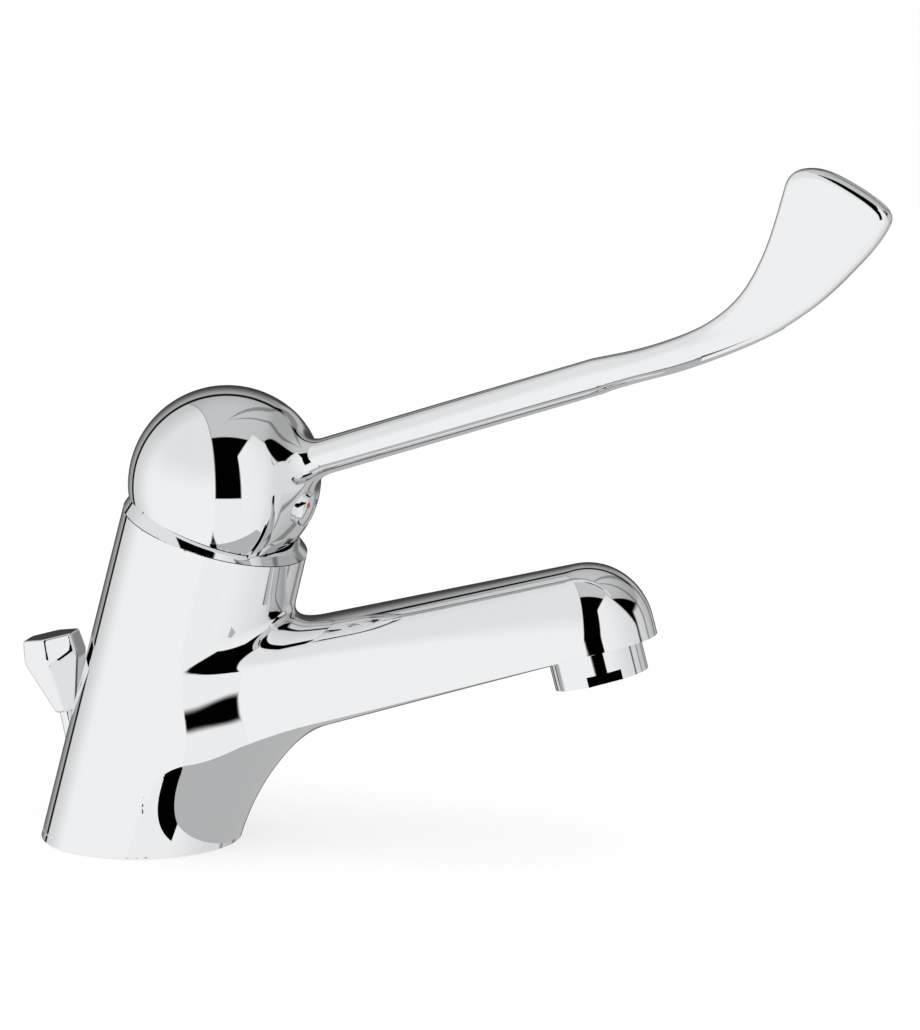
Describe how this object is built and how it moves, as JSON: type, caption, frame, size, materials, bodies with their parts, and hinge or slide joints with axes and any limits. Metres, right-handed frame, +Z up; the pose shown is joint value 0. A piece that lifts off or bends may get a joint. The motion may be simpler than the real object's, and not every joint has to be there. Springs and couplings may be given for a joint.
{
  "type": "elbow lever basin mixer tap",
  "caption": "Chrome single-lever basin mixer tap with a leaning body, a sloping spout, a pop-up knob and a long elbow lever ending in an upright blade.",
  "frame": {"origin": "centre of the round foot on the basin deck", "axes": "+Z up from the deck, -Y forwards along the spout and the lever towards the user, +X to the user's right"},
  "size_m": [0.052, 0.2341, 0.1849],
  "materials": {
    "chrome_casting": "polished chrome on a brass casting",
    "chrome_trim": "polished chrome on turned brass",
    "brass": "bare turned brass",
    "steel": "plain stainless steel",
    "cartridge_plastic": "moulded dark grey plastic",
    "spindle_plastic": "moulded off-white plastic",
    "insert_plastic": "moulded pale grey plastic",
    "ceramic": "ground and lapped white ceramic",
    "seal_rubber": "soft black rubber",
    "hot_red": "red filled dot",
    "cold_blue": "blue filled dot"
  },
  "bodies": {
    "body": {"tap_body": "chrome_casting", "base_seal_ring": "seal_rubber", "cartridge_nut": "brass", "cartridge_housing": "cartridge_plastic", "cartridge_base": "cartridge_plastic", "cartridge_port_seals": "seal_rubber", "fixed_ceramic_disc": "ceramic", "aerator_shell": "chrome_trim", "aerator_insert": "insert_plastic", "aerator_screen": "steel", "aerator_washer": "seal_rubber", "lift_rod_bush": "cartridge_plastic"},
    "spindle": {"cartridge_rotor": "spindle_plastic", "rotor_seal": "seal_rubber", "pivot_pin": "steel", "cover_ring": "chrome_trim"},
    "lever": {"elbow_lever": "chrome_casting", "lever_stem": "brass", "grub_screw": "steel", "index_plug": "chrome_trim", "hot_mark": "hot_red", "cold_mark": "cold_blue"},
    "disc": {"disc_carrier": "spindle_plastic", "moving_ceramic_disc": "ceramic"},
    "pop_up": {"lift_rod": "chrome_trim", "lift_rod_knob": "chrome_trim"}
  },
  "joints": [
    {"name": "handle_turn", "type": "hinge", "parent": "body", "child": "spindle", "pos_m": [0, -0.0218, 0.0827], "axis": [0, -0.2807, 0.9598], "range_deg": [-45, 45]},
    {"name": "lever_lift", "type": "hinge", "parent": "spindle", "child": "lever", "pos_m": [0, -0.01955, 0.07502], "axis": [-1, 0, 0], "range_deg": [0, 12]},
    {"name": "disc_slide", "type": "slide", "parent": "spindle", "child": "disc", "axis": [0, -0.9598, -0.2807], "range_m": [0, 0.0026]},
    {"name": "pop_up_pull", "type": "slide", "parent": "body", "child": "pop_up", "axis": [0, 0.2164, 0.9763], "range_m": [0, 0.012]}
  ],
  "couplings": [
    {"joint": "disc_slide", "follows": "lever_lift", "m_per_rad": 0.01015}
  ]
}
